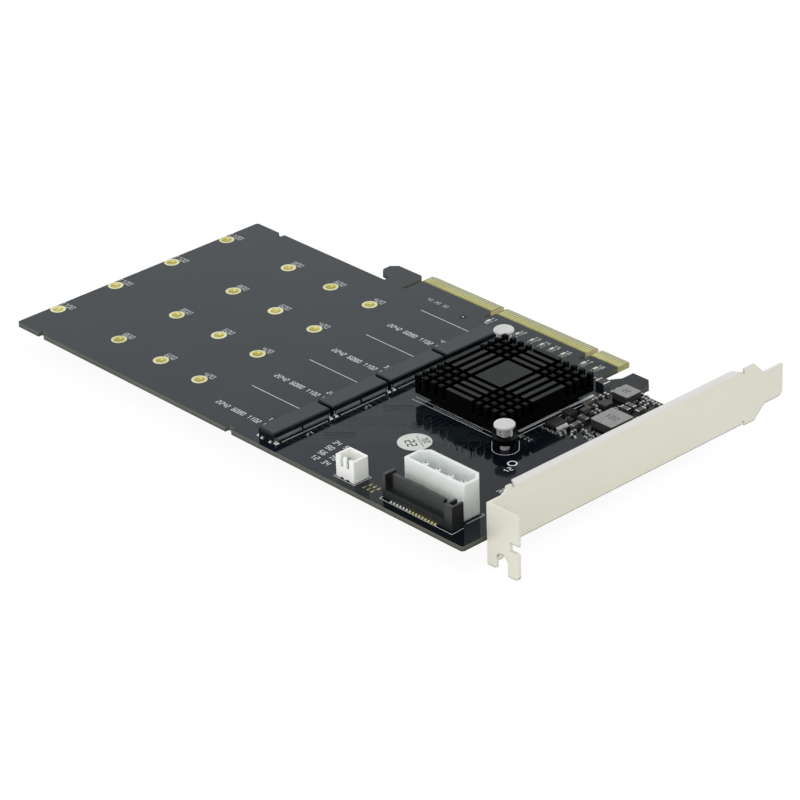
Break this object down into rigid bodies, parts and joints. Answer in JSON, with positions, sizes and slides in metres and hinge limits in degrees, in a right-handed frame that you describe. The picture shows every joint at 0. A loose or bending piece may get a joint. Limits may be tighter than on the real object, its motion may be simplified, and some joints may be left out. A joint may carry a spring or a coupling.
{
  "type": "nvme adapter card",
  "caption": "Expansion card with sockets and screw holes for solid-state drive modules, a heat sink, power inlets and a slot bracket.",
  "frame": {"origin": "where the centre line of the key notch meets the tips of the edge connector, halfway through the board's thickness", "axes": "+X towards the bracket, +Y out of the edge connector, +Z to the component side"},
  "size_m": [0.2119, 0.1278, 0.0224],
  "materials": {
    "solder_mask": "satin black solder mask over glass-fibre laminate",
    "gold_plate": "bright gold plating",
    "tin_plate": "bright tin plating",
    "black_resin": "moulded, satin",
    "chip_resin": "moulded, matt",
    "thermal_pad": "soft, matt",
    "black_anodised": "black anodised",
    "pin_nylon": "moulded, silvery white",
    "spring_steel": "bright drawn wire",
    "white_nylon": "moulded, natural white",
    "bracket_steel": "zinc plated, fine rolled grain",
    "screw_steel": "zinc plated",
    "coil_ferrite": "pressed iron powder, matt",
    "capacitor_ceramic": "fired ceramic",
    "resistor_coat": "glazed",
    "moulded_resin": "moulded, matt",
    "lamp_lens": "clear resin over white base",
    "label_paper": "matt white label"
  },
  "bodies": {
    "root": {"circuit_board": "solder_mask", "edge_contacts_component_side": "gold_plate", "edge_contacts_solder_side": "gold_plate", "module_socket_1": "black_resin", "module_socket_2": "black_resin", "module_socket_3": "black_resin", "module_socket_4": "black_resin", "module_socket_contacts": "tin_plate", "module_socket_anchors": "tin_plate", "switch_chip": "chip_resin", "thermal_pad": "thermal_pad", "heat_sink": "black_anodised", "push_pin_front": "pin_nylon", "push_pin_rear": "pin_nylon", "push_pin_spring_front": "spring_steel", "push_pin_spring_rear": "spring_steel", "power_connector_housing": "white_nylon", "power_connector_pins": "tin_plate", "power_plug_housing": "black_resin", "power_plug_contacts": "gold_plate", "fan_header_housing": "white_nylon", "fan_header_pins": "tin_plate", "bracket": "bracket_steel", "bracket_screws": "screw_steel", "small_coil": "coil_ferrite", "large_coil": "coil_ferrite", "small_coil_feet": "tin_plate", "large_coil_feet": "tin_plate", "power_controller": "chip_resin", "power_controller_leads": "tin_plate", "power_switches": "chip_resin", "large_ceramic_capacitors": "capacitor_ceramic", "small_ceramic_capacitors": "capacitor_ceramic", "chip_resistors": "resistor_coat", "moulded_capacitors": "moulded_resin", "status_lamps": "lamp_lens", "chip_end_caps": "tin_plate", "round_label": "label_paper"}
  },
  "joints": []
}
